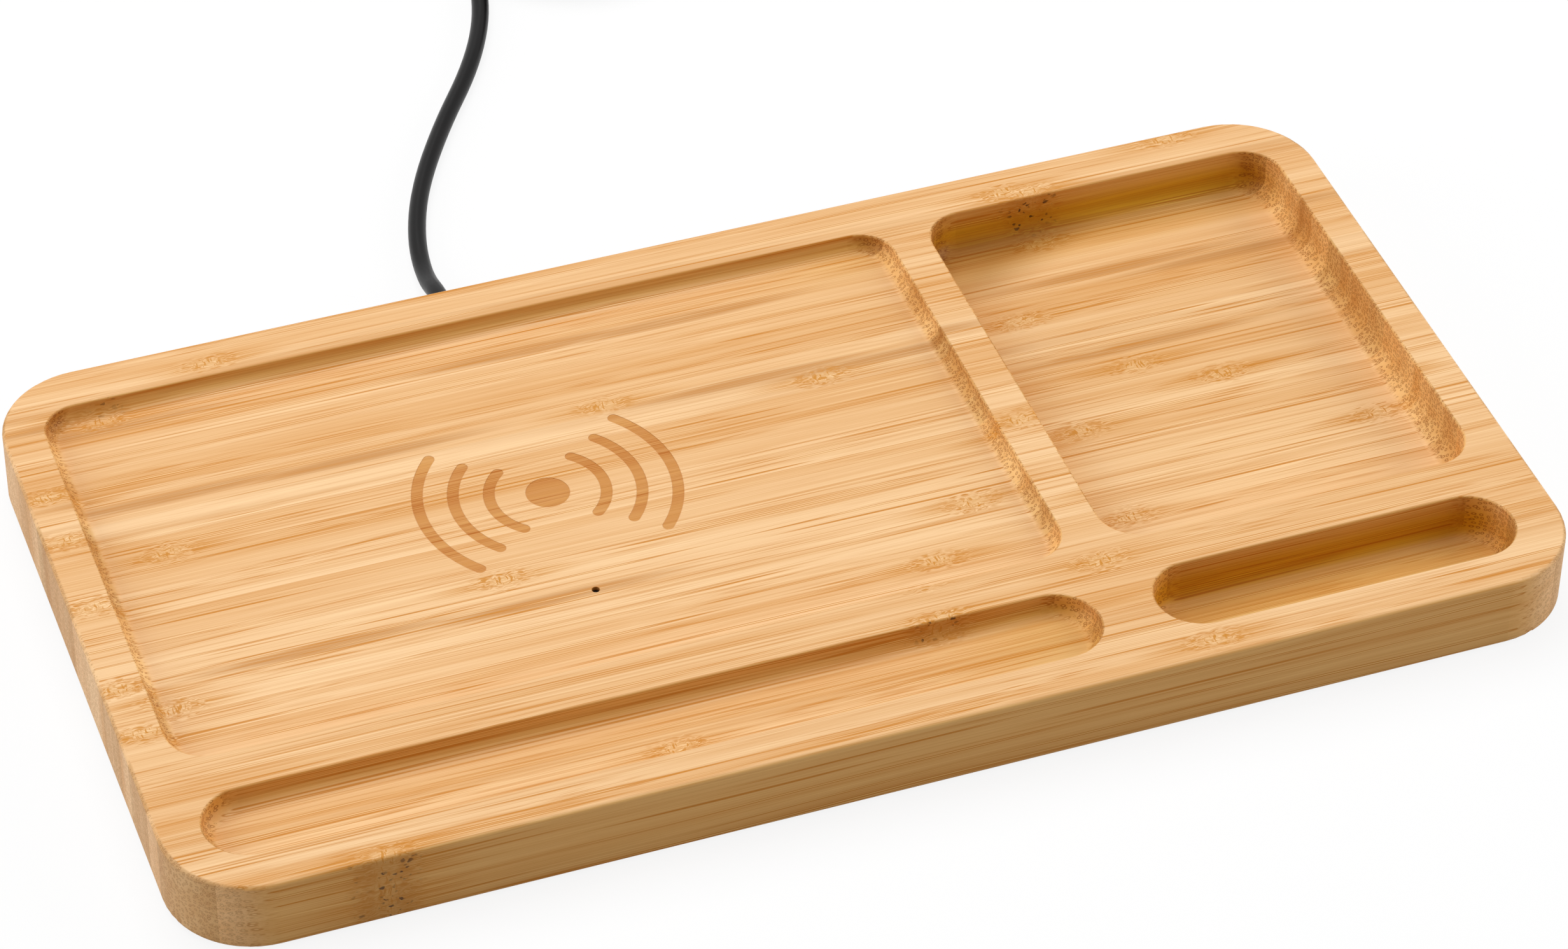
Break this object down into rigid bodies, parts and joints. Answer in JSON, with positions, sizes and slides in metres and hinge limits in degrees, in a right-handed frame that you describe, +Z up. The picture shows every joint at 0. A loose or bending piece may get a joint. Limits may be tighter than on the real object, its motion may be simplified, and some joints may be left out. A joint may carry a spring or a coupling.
{
  "type": "charging station organizer",
  "caption": "Flat bamboo desk tray with a shallow wireless-charging recess, a square tray, a pen groove and a short slot, and a fixed USB cable at the back.",
  "frame": {"origin": "on the surface it stands on, under the middle of the board", "axes": "+X to the right along the board, +Y to the back where the cable leaves, +Z up"},
  "size_m": [0.28, 0.3229, 0.0164],
  "materials": {
    "bamboo": "clear matt oil over sanded laminated bamboo",
    "cover": "fine moulded texture",
    "steel": "bright zinc-plated or nickel-plated",
    "foot": "matt",
    "holder": "moulded",
    "ferrite": "sintered, matt",
    "copper": "enamelled copper wire",
    "adhesive": "soft foam tape",
    "sensor": "epoxy bead",
    "laminate": "solder mask",
    "spacer": "moulded",
    "chip": "moulded",
    "ceramic": "fired ceramic",
    "tin": "soldered",
    "lamp": "clear cap",
    "clear_pin": "frosted end",
    "grommet": "matt",
    "cable": "satin",
    "core": "insulated",
    "strap": "woven hook-and-loop",
    "grip": "fine moulded texture",
    "tongue": "moulded",
    "contact": "gold flash"
  },
  "bodies": {
    "root": {"tray_body": "bamboo", "bottom_cover": "cover", "cover_screws": "steel", "foot_front_left": "foot", "foot_front_right": "foot", "foot_back_left": "foot", "foot_back_right": "foot", "coil_holder": "holder", "holder_screws": "steel", "ferrite_plate": "ferrite", "charging_coil": "copper", "coil_pad": "adhesive", "coil_thermistor": "sensor", "circuit_board": "laminate", "board_spacers": "spacer", "board_screws": "steel", "controller_chip": "chip", "bridge_transistors": "chip", "resonant_capacitors": "ceramic", "filter_inductor": "ferrite", "coil_terminals": "tin", "indicator_led": "lamp", "light_guide": "clear_pin", "cable_clamp": "holder", "clamp_screws": "steel", "cable_grommet": "grommet", "inner_cable": "cable", "supply_wires": "core", "power_cable": "cable", "cable_coil": "cable", "plug_lead": "cable", "cable_tie": "strap", "plug_relief": "grip", "plug_grip": "grip", "plug_shell": "steel", "plug_insert": "tongue", "plug_contacts": "contact"}
  },
  "joints": []
}
